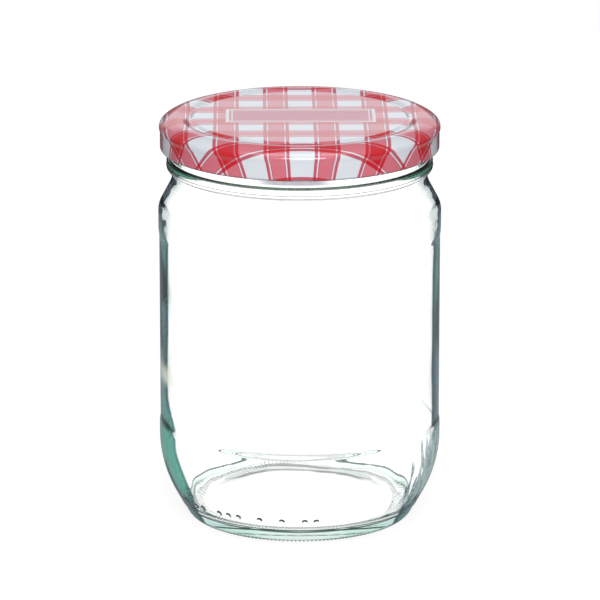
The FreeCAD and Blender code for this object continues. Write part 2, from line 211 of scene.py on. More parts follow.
def turned(name, rings, shift=None):
    """Closed mesh of rings about Z. Each ring is (radius, height, columns).

    Neighbouring rings have equal columns or four times as many. A ring of one
    column is a point on the axis. shift moves the points of a ring.
    """
    verts, faces, starts = [], [], []
    for radius, height, columns in rings:
        starts.append(len(verts))
        bearing = np.arange(columns) * (360.0 / columns)
        r = np.full(columns, float(radius))
        z = np.full(columns, float(height))
        if shift is not None and columns > 1:
            r, z = shift(r, z, bearing)
        angle = np.radians(bearing)
        verts += np.stack([r * np.sin(angle), -r * np.cos(angle), z], 1).tolist()
    for k in range(len(rings) - 1):
        a, b = starts[k], starts[k + 1]
        m, n = rings[k][2], rings[k + 1][2]
        if m == n:
            faces += [(a + i, a + (i + 1) % m, b + (i + 1) % n, b + i) for i in range(m)]
        elif n == 1:
            faces += [(a + i, a + (i + 1) % m, b) for i in range(m)]
        elif m == 1:
            faces += [(a, b + (i + 1) % n, b + i) for i in range(n)]
        elif m == 4 * n:
            for i in range(n):
                fine = [a + (4 * i + j) % m for j in range(5)]
                low, high = b + i, b + (i + 1) % n
                faces += [(fine[0], fine[1], low), (fine[1], fine[2], low),
                          (fine[2], high, low), (fine[2], fine[3], high),
                          (fine[3], fine[4], high)]
        else:
            for i in range(m):
                fine = [b + (4 * i + j) % n for j in range(5)]
                low, high = a + i, a + (i + 1) % m
                faces += [(low, fine[1], fine[0]), (low, fine[2], fine[1]),
                          (low, high, fine[2]), (high, fine[3], fine[2]),
                          (high, fine[4], fine[3])]
    mesh = bpy.data.meshes.new(name)
    mesh.from_pydata([[c * MM for c in v] for v in verts], [], faces)
    mesh.polygons.foreach_set("use_smooth", [True] * len(mesh.polygons))
    mesh.update()
    piece = bpy.data.objects.new(name, mesh)
    bpy.context.scene.collection.objects.link(piece)
    return piece


# ---------------------------------------------------------------- the glass
HEEL_CENTRE = (BODY_R - HEEL_R, HEEL_TOP)
HEEL_END = (HEEL_CENTRE[0] + HEEL_R * cos(HEEL_ANGLE), HEEL_TOP - HEEL_R * sin(HEEL_ANGLE))


def glass_outline():
    """From the middle of the underside out, up the outside, and down the inside.

    Gives the points and how many of them are outside.
    """
    dome_r = FOOT_INNER - FOOT_RUN
    dome_rise = PUSH_UP - FOOT_RISE
    dome_radius = (dome_r ** 2 + dome_rise ** 2) / (2 * dome_rise)
    dome_turn = math.degrees(math.asin(dome_r / dome_radius))
    foot_corner = HEEL_END[0] - HEEL_END[1] * tan(HEEL_ANGLE) - PLATE_STEP
    reach = CORNER_R * tan(45 - HEEL_ANGLE / 2)
    step_r = HEEL_END[0] - (HEEL_END[1] - PLATE_TOP) * tan(HEEL_ANGLE)
    path = Outline((0, PUSH_UP), 2.5)
    path.arc((0, PUSH_UP - dome_radius), dome_radius, 90, 90 - dome_turn)
    path.spacing = 0.4
    path.line(FOOT_INNER, 0)
    path.line(foot_corner - reach, 0)
    path.arc((foot_corner - reach, CORNER_R), CORNER_R, -90, -HEEL_ANGLE)
    path.line(step_r - PLATE_STEP, PLATE_TOP)
    path.line(step_r, PLATE_TOP, 0.04)
    path.spacing = 0.25
    path.line(*HEEL_END, 0)
    path.arc(HEEL_CENTRE, HEEL_R, -HEEL_ANGLE, -DOT_BAND_END)
    path.spacing = 1.2
    path.arc(HEEL_CENTRE, HEEL_R, -DOT_BAND_END, 0)
    path.line(BODY_R, LOW_RING_TOP, 0)
    path.ease(PANEL_R, PANEL_LOW)
    path.line(PANEL_R, PANEL_HIGH, 0)
    path.ease(BODY_R, HIGH_RING_LOW)
    path.line(BODY_R, SHOULDER_LOW, 0.3)
    path.arc((BODY_R - SHOULDER_R, SHOULDER_LOW), SHOULDER_R, 0, SHOULDER_SLOPE, 2)
    neck_r = NECK_R + NECK_FILLET * (1 - cos(SHOULDER_SLOPE))
    rise = (path.points[-1][0] - neck_r) / tan(SHOULDER_SLOPE)
    neck_z = path.points[-1][1] + rise
    path.line(neck_r, neck_z)
    path.arc((NECK_R + NECK_FILLET, neck_z + NECK_FILLET * sin(SHOULDER_SLOPE)),
             NECK_FILLET, 180 + SHOULDER_SLOPE, 180, 2)
    path.line(NECK_R, BEAD_LOW)
    path.line(BEAD_R - BEAD_ROUND, BEAD_LOW + BEAD_RISE)
    path.arc((BEAD_R - BEAD_ROUND, BEAD_LOW + BEAD_RISE + BEAD_ROUND), BEAD_ROUND, -90, 0)
    path.line(BEAD_R, SEAM - SEAM_HALF)
    path.line(BEAD_R + SEAM_PROUD, SEAM)
    path.line(BEAD_R, SEAM + SEAM_HALF)
    path.line(BEAD_R, BEAD_HIGH - BEAD_ROUND)
    path.arc((BEAD_R - BEAD_ROUND, BEAD_HIGH - BEAD_ROUND), BEAD_ROUND, 0, 90)
    path.line(FINISH_R, BEAD_HIGH, 0.04)
    path.spacing = 0.3
    path.line(FINISH_R, RIM_TOP - RIM_ROUND, 0.15)
    path.arc((FINISH_R - RIM_ROUND, RIM_TOP - RIM_ROUND), RIM_ROUND, 0, 90)
    outside = len(path.points)
    path.spacing = 1.2
    path.line(BORE_R + LIP_ROUND, RIM_TOP)
    path.arc((BORE_R + LIP_ROUND, RIM_TOP - LIP_ROUND), LIP_ROUND, 90, 180)
    shoulder_r = INNER_R - INNER_SHOULDER_R * (1 - cos(SHOULDER_SLOPE))
    shoulder_z = INNER_SHOULDER_LOW + INNER_SHOULDER_R * sin(SHOULDER_SLOPE)
    neck_r = BORE_R + INNER_NECK_FILLET * (1 - cos(SHOULDER_SLOPE))
    neck_z = shoulder_z + (shoulder_r - neck_r) / tan(SHOULDER_SLOPE)
    fillet_z = neck_z + INNER_NECK_FILLET * sin(SHOULDER_SLOPE)
    path.line(BORE_R, fillet_z)
    path.arc((BORE_R + INNER_NECK_FILLET, fillet_z), INNER_NECK_FILLET,
             180, 180 + SHOULDER_SLOPE, 2)
    path.line(shoulder_r, shoulder_z)
    path.arc((INNER_R - INNER_SHOULDER_R, INNER_SHOULDER_LOW), INNER_SHOULDER_R,
             SHOULDER_SLOPE, 0, 2)
    path.line(INNER_R, HEEL_TOP)
    path.arc(HEEL_CENTRE, HEEL_R - WALL, 0, -INNER_CORNER_ANGLE)
    offset = HEEL_R - WALL - INNER_CORNER_R
    corner = (HEEL_CENTRE[0] + offset * cos(INNER_CORNER_ANGLE),
              HEEL_TOP - offset * sin(INNER_CORNER_ANGLE))
    path.spacing = 0.3
    path.arc(corner, INNER_CORNER_R, -INNER_CORNER_ANGLE, FLOOR_SLOPE - 90)
    floor_r, floor_z = path.points[-1]
    path.spacing = 2.5
    crown_z = floor_z + (floor_r - CROWN_R) * tan(FLOOR_SLOPE)
    path.line(CROWN_R, crown_z, 0.3)
    crown_radius = CROWN_R / sin(FLOOR_SLOPE)
    path.arc((0, crown_z - crown_radius * cos(FLOOR_SLOPE)), crown_radius,
             90 - FLOOR_SLOPE, 90, 2)
    return path.points, outside


def smooth(x, low, high):
    """0 below low, 1 above high, with an easy curve between."""
    t = np.clip((x - low) / (high - low), 0, 1)
    return t * t * (3 - 2 * t)


def ripple(bearing, z):
    """Unevenness of the inner wall, which a mould doesn't touch, in millimetres."""
    a = np.radians(bearing)
    slow = sum(depth * np.sin(lobes * a + turn * z + phase)
               for depth, lobes, turn, phase in WAVES)
    bend, bends = STREAKS_BEND
    fades, start = STREAKS_FADE
    streaks = STREAK_DEPTH * np.sin(STREAKS * a + bend * np.sin(bends * a) + STREAKS_LEAN * z)
    return slow + streaks * np.sin(fades * a + start) * smooth(z, *STREAKS_HIGH)


def knurled(r, z, bearing):
    """Grooves across the bearing ring."""
    wave = 0.5 - 0.5 * np.cos(np.radians(bearing) * KNURLS)
    return r, z + wave * KNURL_DEPTH * smooth(z[0], *KNURL_FADE)


def dotted(r, z, bearing):
    """Mould dots in a row on the heel, square to its slope."""
    along = (z[0] - HEEL_END[1]) / cos(HEEL_ANGLE)
    rise = np.zeros_like(r)
    for place in DOT_PLACES:
        off = np.radians((bearing - DOT_FIRST + DOT_STEP * place + 180) % 360 - 180)
        away = np.hypot(off * r[0], along)
        rise = np.maximum(rise, DOT_PROUD * smooth(away, DOT_R, DOT_CROWN * DOT_R))
    return r + rise * cos(HEEL_ANGLE), z - rise * sin(HEEL_ANGLE)


def threaded(r, z, bearing):
    """Thread starts, each a short climbing rib."""
    off = (bearing + START_PITCH / 2) % START_PITCH - START_PITCH / 2
    middle = START_HEIGHT + np.radians(off) * FINISH_R * tan(START_TILT)
    up = z[0] - middle
    crest = smooth(up, *START_LOW) * smooth(up, *START_HIGH)
    ends = smooth(np.abs(off), *(START_ANGLE / 2 + fade for fade in START_ENDS))
    return r + (START_CREST - FINISH_R) * crest * ends, z


def glass_shift(outside):
    """Moves ring points for the knurls, dots, thread starts and the uneven inner wall.

    It is called for one ring after another, and outside is how many lie on the outside.
    """
    state = {"ring": 0}

    def shift(r, z, bearing):
        state["ring"] += 1
        radius, height = r[0], z[0]
        if state["ring"] > outside:
            fade = smooth(height, *WAVES_LOW) * smooth(height, *WAVES_HIGH)
            return r + fade * ripple(bearing, height), z
        if height < KNURL_BELOW and radius > FOOT_INNER - FOOT_RUN - CLOSE:
            return knurled(r, z, bearing)
        if abs(height - HEEL_END[1]) < DOT_R:
            return dotted(r, z, bearing)
        if radius > FINISH_R - CLOSE and abs(height - START_HEIGHT) < START_REACH:
            return threaded(r, z, bearing)
        return r, z

    return shift


def make_glass():
    points, outside = glass_outline()
    rings = []
    for index, (radius, height) in enumerate(points):
        fine = index < outside and FINE_R[0] < radius < FINE_R[1] and height < FINE_BELOW
        around = FINE_COLUMNS if fine else COLUMNS
        rings.append((radius, height, around if radius > ON_AXIS else 1))
    # the first ring is a point on the axis, and no shift is called for it
    piece = turned("glass_jar", rings, glass_shift(outside - 1))
    outer = sum(columns for _r, _z, columns in rings[:outside])
    mask = np.zeros(len(piece.data.vertices))
    mask[:outer] = 1.0
    layer = piece.data.attributes.new("outer_face", "FLOAT", "POINT")
    layer.data.foreach_set("value", mask)
    return piece


# ---------------------------------------------------------------- the lid
def lid_face(inset):
    """One face of the lid's sheet, from the middle out to the end of the curl."""
    crest_z = LID_TOP - CREST_R
    groove_r = CREST_AT - (CREST_R + GROOVE_ROUND) * sin(GROOVE_SLOPE)
    groove_z = crest_z + (CREST_R + GROOVE_ROUND) * cos(GROOVE_SLOPE)
    panel_z = LID_TOP - PANEL_DROP - GROOVE_ROUND
    drop = panel_z - groove_z + 2 * GROOVE_ROUND * cos(GROOVE_SLOPE)
    panel_r = groove_r - 2 * GROOVE_ROUND * sin(GROOVE_SLOPE) - drop / tan(GROOVE_SLOPE)
    edge_r = CREST_AT + (CREST_R - EDGE_R) * sin(CREST_TURN)
    edge_z = crest_z + (CREST_R - EDGE_R) * cos(CREST_TURN)
    path = Outline((0, LID_TOP - PANEL_DROP - inset), 2.0)
    path.line(panel_r, LID_TOP - PANEL_DROP - inset, 0)
    path.spacing = 0.35
    path.arc((panel_r, panel_z), GROOVE_ROUND - inset, 90, 90 - GROOVE_SLOPE, 4)
    path.line(groove_r - (GROOVE_ROUND + inset) * sin(GROOVE_SLOPE),
              groove_z - (GROOVE_ROUND + inset) * cos(GROOVE_SLOPE), 0)
    path.arc((groove_r, groove_z), GROOVE_ROUND + inset,
             GROOVE_SLOPE - 90 - 2 * GROOVE_SLOPE, GROOVE_SLOPE - 90, 4)
    path.arc((CREST_AT, crest_z), CREST_R - inset, 90 + GROOVE_SLOPE, 90 - CREST_TURN, 3)
    path.arc((edge_r, edge_z), EDGE_R - inset, 90 - CREST_TURN, 0, 4)
    side = edge_r + EDGE_R - inset
    skirt = SKIRT_R - inset
    path.line(side, edge_z - BULGE_DEPTH, 0)
    path.line(skirt, edge_z - BULGE_DEPTH - BULGE_FADE, 0)
    path.spacing = 1.0
    path.line(skirt, LID_LOW + CURL_R, 0)
    path.arc((SKIRT_R - CURL_R, LID_LOW + CURL_R), CURL_R - inset, 0, -270, 15)
    return path.points


def sheet_radius(along):
    """Radius on the flat blank of a point that lies this far out along the lid's face.

    Drawing the cap stretches the sheet past the crest.
    """
    return along - DRAWN_SHARE * max(0.0, along - DRAWN_FROM)


def lugged(r, z, bearing):
    """Presses the curl flat and inward at the lugs."""
    curl_r = SKIRT_R - CURL_R
    if z[0] > LID_LOW + 2 * CURL_R + CLOSE or r[0] > curl_r:
        return r, z
    off = np.abs((bearing + START_PITCH / 2) % START_PITCH - START_PITCH / 2)
    press = smooth(off, LUG_ANGLE / 2 + LUG_FADE, LUG_ANGLE / 2 - LUG_FADE)
    reach = (curl_r - LUG_TIP) / CURL_R - 1
    return curl_r - (curl_r - r) * (1 + reach * press), z


def flat_places(rings, printed):
    """Where each vertex of the lid lies on the flat blank, in millimetres from its centre."""
    along = [0.0]
    for (r0, z0), (r1, z1) in zip(printed, printed[1:]):
        along.append(along[-1] + math.hypot(r1 - r0, z1 - z0))
    places = []
    for (_radius, _height, count), out in zip(rings, along + along[::-1]):
        angle = np.arange(count) * (2 * math.pi / count)
        reach = sheet_radius(out) if count > 1 else 0.0
        places.append(np.stack([reach * np.sin(angle), -reach * np.cos(angle)], 1))
    return np.concatenate(places)


def make_lid():
    """Closed sheet with its printed face outside, and the second material inside."""
    printed = lid_face(0)
    points = printed + lid_face(GAUGE)[::-1]
    rings = [(r, z, LID_COLUMNS if r > ON_AXIS else 1) for r, z in points]
    piece = turned("printed_lid", rings, lugged)
    mesh = piece.data
    layer = mesh.uv_layers.new(name="flat_sheet")
    corner = np.zeros(len(mesh.loops), np.int32)
    mesh.loops.foreach_get("vertex_index", corner)
    layer.data.foreach_set("uv", (flat_places(rings, printed)[corner] / SHEET_UNIT).ravel())
    printed_verts = sum(count for _r, _z, count in rings[:len(printed)])
    for polygon in mesh.polygons:
        if max(polygon.vertices) >= printed_verts:
            polygon.material_index = 1
    return piece


# ---------------------------------------------------------------- node helpers
class Nodes:
    """Short way to build a node tree."""

    def __init__(self, tree):
        self.tree = tree
        tree.nodes.clear()

    def add(self, kind, inputs=None, **settings):
        node = self.tree.nodes.new(kind)
        for key, value in settings.items():
            setattr(node, key, value)
        for key, value in (inputs or {}).items():
            self.put(node.inputs[key], value)
        return node

    def put(self, socket, value):
        if isinstance(value, bpy.types.NodeSocket):
            self.tree.links.new(value, socket)
        else:
            socket.default_value = value

    def math(self, operation, *values):
        node = self.tree.nodes.new("ShaderNodeMath")
        node.operation = operation
        for socket, value in zip(node.inputs, values):
            self.put(socket, value)
        return node.outputs[0]

    def step(self, value, low, high):
        """0 at low and 1 at high, with an easy curve between."""
        node = self.add("ShaderNodeMapRange", {"Value": value, "From Min": low,
                                               "From Max": high},
                        interpolation_type="SMOOTHSTEP")
        return node.outputs["Result"]

    def between(self, value, rise, fall):
        """0, then 1 after the rise, then 0 again after the fall."""
        return self.math("MULTIPLY", self.step(value, *rise), self.step(value, *fall[::-1]))

    def all_of(self, *shares):
        """Product of several shares."""
        out = shares[0]
        for share in shares[1:]:
            out = self.math("MULTIPLY", out, share)
        return out

    def any_of(self, *shares):
        """Largest of several shares."""
        out = shares[0]
        for share in shares[1:]:
            out = self.math("MAXIMUM", out, share)
        return out

    def noise(self, where, scale, detail):
        node = self.add("ShaderNodeTexNoise", {"Vector": where, "Scale": scale,
                                               "Detail": detail})
        return node.outputs["Fac"]

    def uneven(self, where, scale, detail, middle, amount):
        """Noise that swings by about this amount round nought."""
        swing = self.math("SUBTRACT", self.noise(where, scale, detail), middle)
        return self.math("MULTIPLY", swing, amount)

    def ramp(self, factor, stops):
        node = self.tree.nodes.new("ShaderNodeValToRGB")
        elements = node.color_ramp.elements
        elements[0].position, elements[0].color = stops[0][0], tone(stops[0][1])
        elements[1].position, elements[1].color = stops[-1][0], tone(stops[-1][1])
        for position, colour in stops[1:-1]:
            elements.new(position).color = tone(colour)
        self.put(node.inputs["Fac"], factor)
        return node.outputs["Color"]

    def mix(self, factor, first, second, blend="MIX"):
        node = self.tree.nodes.new("ShaderNodeMix")
        node.data_type = "RGBA"
        node.blend_type = blend
        self.put(node.inputs["Factor"], factor)
        for name, colour in (("A", first), ("B", second)):
            self.put(node.inputs[name], tone(colour) if isinstance(colour, tuple) else colour)
        return node.outputs["Result"]


def tone(colour):
    """Linear colour with alpha from a grey level or a red, green, blue triple."""
    if isinstance(colour, (int, float)):
        colour = (colour,) * 3
    return (*colour[:3], 1.0)


def srgb(red, green, blue):
    """Linear colour from 0 to 255 display values."""
    out = []
    for level in (red, green, blue):
        c = level / 255
        out.append(c / 12.92 if c <= 0.04045 else ((c + 0.055) / 1.055) ** 2.4)
    return tuple(out)


def new_material(name):
    material = bpy.data.materials.new(name)
    material.use_nodes = True
    return material, Nodes(material.node_tree)


# ---------------------------------------------------------------- looks of the glass
# Painted dark reflections: share of light that the outer face lets in, by how far it turns away
# from the viewer.
SLATE = [(0.68, 1.0), (0.70, (0.05, 0.09, 0.11)), (0.76, (0.08, 0.14, 0.16)),
         (0.82, (0.15, 0.21, 0.24)), (1.0, (0.20, 0.26, 0.29))]
TEAL = [(0.68, 1.0), (0.70, (0.03, 0.09, 0.10)), (0.73, (0.05, 0.12, 0.13)),
        (0.77, (0.13, 0.26, 0.26)), (0.90, (0.17, 0.30, 0.30)), (1.0, (0.22, 0.31, 0.31))]
SHOULDER_GREY = [(0.71, 1.0), (0.735, (0.05, 0.065, 0.085)), (0.79, (0.12, 0.145, 0.18)),
                 (0.90, (0.19, 0.215, 0.25)), (1.0, (0.28, 0.30, 0.34))]
NECK_GREY = [(0.72, 1.0), (0.74, (0.50, 0.56, 0.55)), (0.82, (0.66, 0.74, 0.71)),
             (1.0, (0.56, 0.62, 0.62))]
HEEL_GREEN = [(0.66, 1.0), (0.69, (0.06, 0.20, 0.17)), (0.74, (0.11, 0.36, 0.29)),
              (0.86, (0.13, 0.40, 0.31)), (1.0, (0.15, 0.34, 0.28))]
HEEL_STROKES = [(0.58, 1.0), (0.62, (0.17, 0.21, 0.24)), (0.67, (0.60, 0.68, 0.67)),
                (0.72, (0.20, 0.26, 0.28)), (0.79, (0.46, 0.58, 0.54)),
                (1.0, (0.34, 0.46, 0.43))]
# The same for single marks, whichever way they face.
PALE_SPOT, SPOT_SHARE = (0.92, 0.90, 0.82), 0.85
# painted shade line along the top of the bead, at the front and at the sides
BEAD_SHADE_FRONT = (0.13, 0.15, 0.13)
BEAD_SHADE_SIDE = (0.10, 0.26, 0.18)
SEAM_TINT = (0.35, 0.34, 0.34)
# painted shadow of the lid's front edge on the glass under it
LID_SHADOW_TINT = (0.42, 0.40, 0.43)
PLATE_TINT = (0.16, 0.22, 0.20)
FOOT_TINT = (0.76, 0.91, 0.87)

# Where they lie. A pair runs from where a tint begins to where it is full, and a FALL from
# where it is full to where it ends. LEFT, RIGHT, AT, WIDTH and ENDS are across the jar, OUT
# is out from its axis, and the rest are heights.
SHOULDER_RISE = (106.0, 116.0)
SPECKLE_RISE = (100.0, 116.0)
NECK_RISE = (129.0, 130.5)
HEEL_RISE, HEEL_FALL = (6.0, 16.0), (36.0, 50.0)
STROKES_FALL = (30.0, 40.0)
GREEN_LEFT = (-30.0, -44.0)
STROKES_RIGHT = (26.0, 40.0)
SPOT_LEFT, SPOT_RISE, SPOT_FALL = (-42.0, -49.0), (51.0, 56.0), (57.0, 62.0)
# where the painted shade line along the bead lies
BEAD_LINE, BEAD_LINE_BLUR, BEAD_LINE_FALL = 135.0, 0.5, (136.0, 136.2)
BEAD_LINE_DROP = 1.4     # how much further down the line reaches at the sides
# where the painted shadow under the lid's front edge lies
LID_SHADOW_AT, LID_SHADOW_WIDTH, LID_SHADOW_RISE = -2.0, (17.0, 8.0), (136.4, 137.2)
SEAM_BLUR = 0.1
PLATE_RISE, PLATE_FALL = (4.6, 4.8), (5.4, 5.6)
FOOT_BELOW, FOOT_ENDS, FOOT_OUT = (4.6, 4.2), (8.0, 24.0), (40.0, 41.2)
# The same for how far the face turns away.
SIDES = (0.25, 0.55)
STROKES_TURN = (0.30, 0.55)
# Strokes for each radian round the jar, and for each millimetre up.
STROKES_ROUND, STROKES_UP = 16.0, 0.06

# Noise that moves the bands: scale, detail, middle value and amount.
WANDER = (30.0, 1.0, 0.5, 0.10)
SPECKLE = (260.0, 2.0, 0.62, 0.22)
STROKES = (1.0, 3.0, 0.5, 0.8)
THICK_REACH = 0.12       # how much further in the band comes on the green side of the heel
# Scale and detail of the noise that picks between slate and teal, and of the face's grain.
PATCHES, PATCHES_STEP = (28.0, 0.0), (0.42, 0.56)
GRAIN = (45.0, 2.0)


class GlassPlace:
    """Node outputs that say where on the glass a point is, in millimetres, and how it faces."""

    def __init__(self, n):
        self.where = n.add("ShaderNodeTexCoord").outputs["Object"]
        scaled = n.add("ShaderNodeVectorMath", {0: self.where, "Scale": 1 / MM},
                       operation="SCALE").outputs["Vector"]
        split = n.add("ShaderNodeSeparateXYZ", {"Vector": scaled})
        self.x, self.y, self.z = (split.outputs[axis] for axis in "XYZ")
        self.facing = n.add("ShaderNodeLayerWeight", {"Blend": 0.5}).outputs["Facing"]
        heel = n.between(self.z, HEEL_RISE, HEEL_FALL)
        self.thick = n.all_of(heel, n.step(self.x, *GREEN_LEFT))
        self.stroked = n.all_of(heel, n.step(self.z, *STROKES_FALL[::-1]),
                                n.step(self.x, *STROKES_RIGHT))


def heel_strokes(n, place):
    """Uneven strokes of painted dark reflection down the heel, where the face turns away."""
    bearing = n.math("ARCTAN2", place.y, place.x)
    lines = n.add("ShaderNodeCombineXYZ", {
        "X": n.math("MULTIPLY", bearing, STROKES_ROUND),
        "Y": n.math("MULTIPLY", place.z, STROKES_UP)})
    return n.all_of(n.uneven(lines.outputs[0], *STROKES), n.step(place.facing, *STROKES_TURN))


def edge_bands(n, place):
    """Painted dark reflections: dark and green bands along the sides, with a wandering inner
    edge.
    """
    wander = n.uneven(place.where, *WANDER)
    speckle = n.all_of(n.uneven(place.where, *SPECKLE), n.step(place.z, *SPECKLE_RISE))
    reach = n.math("ADD", n.math("ADD", place.facing, wander),
                   n.math("MULTIPLY", place.thick, THICK_REACH))
    reach = n.math("ADD", reach, speckle)
    patches = n.step(n.noise(place.where, *PATCHES), *PATCHES_STEP)
    edge = n.mix(patches, n.ramp(reach, SLATE), n.ramp(reach, TEAL))
    edge = n.mix(n.step(place.z, *SHOULDER_RISE), edge, n.ramp(reach, SHOULDER_GREY))
    edge = n.mix(n.step(place.z, *NECK_RISE), edge, n.ramp(reach, NECK_GREY))
    # a paler spot in the painted dark band at the left side
    spot = n.all_of(n.step(place.x, *SPOT_LEFT), n.between(place.z, SPOT_RISE, SPOT_FALL))
    edge = n.mix(n.math("MULTIPLY", spot, SPOT_SHARE), edge, PALE_SPOT)
    edge = n.mix(place.thick, edge, n.ramp(reach, HEEL_GREEN))
    strokes = n.ramp(n.math("ADD", reach, heel_strokes(n, place)), HEEL_STROKES)
    return n.mix(place.stroked, edge, strokes)


def edge_marks(n, place, edge):
    """Painted shade line along the bead, lines of the neck seam and the mould's plate, the
    painted shadow under the lid's front and the green foot.
    """
    sides = n.step(place.facing, *SIDES)
    # painted shade line along the top of the bead
    low = n.math("SUBTRACT", BEAD_LINE, n.math("MULTIPLY", sides, BEAD_LINE_DROP))
    bead = n.all_of(n.step(place.z, low, n.math("ADD", low, BEAD_LINE_BLUR)),
                    n.step(place.z, *BEAD_LINE_FALL[::-1]))
    edge = n.mix(bead, edge, n.mix(sides, BEAD_SHADE_FRONT, BEAD_SHADE_SIDE))
    low, high = SEAM - SEAM_HALF, SEAM + SEAM_HALF
    seam = n.between(place.z, (low, low + SEAM_BLUR), (high - SEAM_BLUR, high))
    edge = n.mix(seam, edge, SEAM_TINT)
    # painted shadow under the lid's front edge
    aside = n.math("ABSOLUTE", n.math("SUBTRACT", place.x, LID_SHADOW_AT))
    lens = n.all_of(n.step(aside, *LID_SHADOW_WIDTH), n.step(place.z, *LID_SHADOW_RISE))
    edge = n.mix(lens, edge, LID_SHADOW_TINT)
    edge = n.mix(n.between(place.z, PLATE_RISE, PLATE_FALL), edge, PLATE_TINT)
    radius = n.math("SQRT", n.math("ADD", n.math("POWER", place.x, 2.0),
                                   n.math("POWER", place.y, 2.0)))
    foot = n.all_of(n.step(place.z, *FOOT_BELOW), n.step(radius, *FOOT_OUT),
                    n.step(n.math("ABSOLUTE", place.x), *FOOT_ENDS))
    return n.mix(foot, edge, n.mix(1.0, edge, FOOT_TINT, "MULTIPLY"))


def glass_material():
    """Clear glass with a faint green body, and bands and marks on its outer face; the bands and
    some marks are painted dark reflections and shade.

    A face lets the root of its base colour through, so the share of light is squared.
    """
    material, n = new_material("clear_glass")
    place = GlassPlace(n)
    bump = n.add("ShaderNodeBump", {"Height": n.noise(place.where, *GRAIN),
                                    "Strength": 0.05, "Distance": 0.001})
    edge = edge_marks(n, place, edge_bands(n, place))
    edge = n.mix(1.0, edge, edge, "MULTIPLY")
    outer = n.add("ShaderNodeAttribute", attribute_name="outer_face").outputs["Fac"]
    shader = n.add("ShaderNodeBsdfPrincipled", {
        "Base Color": n.mix(outer, tone(1.0), edge), "Roughness": 0.0, "IOR": 1.50,
        "Transmission Weight": 1.0, "Specular IOR Level": 0.25, "Normal": bump.outputs[0]})
    volume = n.add("ShaderNodeVolumeAbsorption", {
        "Color": tone((0.42, 0.80, 0.68)), "Density": 5.0})
    n.add("ShaderNodeOutputMaterial", {"Surface": shader.outputs[0],
                                       "Volume": volume.outputs[0]})
    return material


# ---------------------------------------------------------------- looks of the lid
PERIOD = 18.2            # of the check, in millimetres
PRINT_TURN = 0.62        # the print lies a little askew and off centre on the sheet
PRINT_OFFSET = (0.35, 1.39)
# Ink across one band of the check, out from its middle in tens of millimetres: the light
# middle with its dense border, a thin bare line and a dense strip along the edge.
BAND_UNIT = 10.0
BAND = [(0.0, 0.50), (0.255, 0.50), (0.262, 0.60), (0.285, 0.60), (0.292, 0.06),
        (0.340, 0.06), (0.348, 0.62), (0.455, 0.60), (0.470, 0.0)]
# Colour of the print by the amount of ink.
INK = [(0.0, srgb(238, 243, 250)), (0.25, srgb(242, 190, 200)), (0.50, srgb(234, 120, 136)),
       (0.62, srgb(202, 92, 114)), (0.80, srgb(218, 44, 62)), (1.0, srgb(222, 8, 28))]
FIELD = (27.4, 10.0)     # half of the bare framed field, across and along
FIELD_INK = 0.585
FRAME_INK = 0.05
FRAME_ENDS = ((26.2, 27.4), (24.9, 25.3))    # its outer and inner line at both ends
FRAME_SIDES = ((9.0, 10.0), (7.1, 7.5))      # and along both sides
WEAVE_TURN = 6.3         # fine weave of the ink, in radians for each millimetre
WEAVE = 0.08
ROLLED = (1.0, 0.3)      # heights above the lid's low edge where the sheet rolls in
# painted shade where the curl turns under
CURL_SHADE_TINT = (0.45, 0.42, 0.42)


def print_place(n):
    """Where on the print a point is, in millimetres across and along from its middle."""
    sheet = n.add("ShaderNodeMapping", {
        "Vector": n.add("ShaderNodeUVMap", uv_map="flat_sheet").outputs[0],
        "Rotation": (0, 0, math.radians(-PRINT_TURN)),
        "Scale": (SHEET_UNIT,) * 3}, vector_type="POINT").outputs[0]
    split = n.add("ShaderNodeSeparateXYZ", {"Vector": sheet})
    return [n.math("SUBTRACT", split.outputs[k], PRINT_OFFSET[k]) for k in (0, 1)]


def band_ink(n, across):
    """Ink of one set of bands."""
    away = n.math("PINGPONG", n.math("SUBTRACT", across, PERIOD / 2), PERIOD / 2)
    return n.ramp(n.math("DIVIDE", away, BAND_UNIT), BAND)


def framed(n, place, ink):
    """The ink with the framed field over its middle."""
    across, along = (n.math("ABSOLUTE", p) for p in place)
    inside = n.all_of(n.math("LESS_THAN", across, FIELD[0]), n.math("LESS_THAN", along, FIELD[1]))
    lines = []
    for value, pair in ((across, FRAME_ENDS), (along, FRAME_SIDES)):
        for low, high in pair:
            lines.append(n.all_of(n.math("GREATER_THAN", value, low),
                                  n.math("LESS_THAN", value, high)))
    field = n.mix(n.any_of(*lines), tone(FIELD_INK), tone(FRAME_INK))
    return n.mix(inside, ink, field)


def weave(n, place):
    """Factor round 1 for the fine weave of the ink."""
    slants = [n.math("SINE", n.math("MULTIPLY", n.math(way, *place), WEAVE_TURN))
              for way in ("ADD", "SUBTRACT")]
    return n.math("ADD", n.math("MULTIPLY", n.all_of(*slants), WEAVE), 1.0)


def lid_material():
    """Two-colour check with framed field, printed on the flat sheet under clear lacquer, with
    painted shade where the curl turns under.
    """
    material, n = new_material("printed_tinplate")
    place = print_place(n)
    ink = framed(n, place, n.math("ADD", *(band_ink(n, p) for p in place)))
    colour = n.ramp(n.math("MULTIPLY", ink, weave(n, place)), INK)
    height = n.add("ShaderNodeSeparateXYZ", {
        "Vector": n.add("ShaderNodeTexCoord").outputs["Object"]}).outputs["Z"]
    # painted shade on the curl where it turns under
    curl_shade = n.step(height, *((LID_LOW + up) * MM for up in ROLLED))
    colour = n.mix(curl_shade, colour, n.mix(1.0, colour, CURL_SHADE_TINT, "MULTIPLY"))
    shader = n.add("ShaderNodeBsdfPrincipled", {
        "Base Color": colour, "Roughness": 0.45, "Specular IOR Level": 0.3,
        "Coat Weight": 1.0, "Coat Roughness": 0.06, "Coat IOR": 2.0})
    n.add("ShaderNodeOutputMaterial", {"Surface": shader.outputs[0]})
    return material


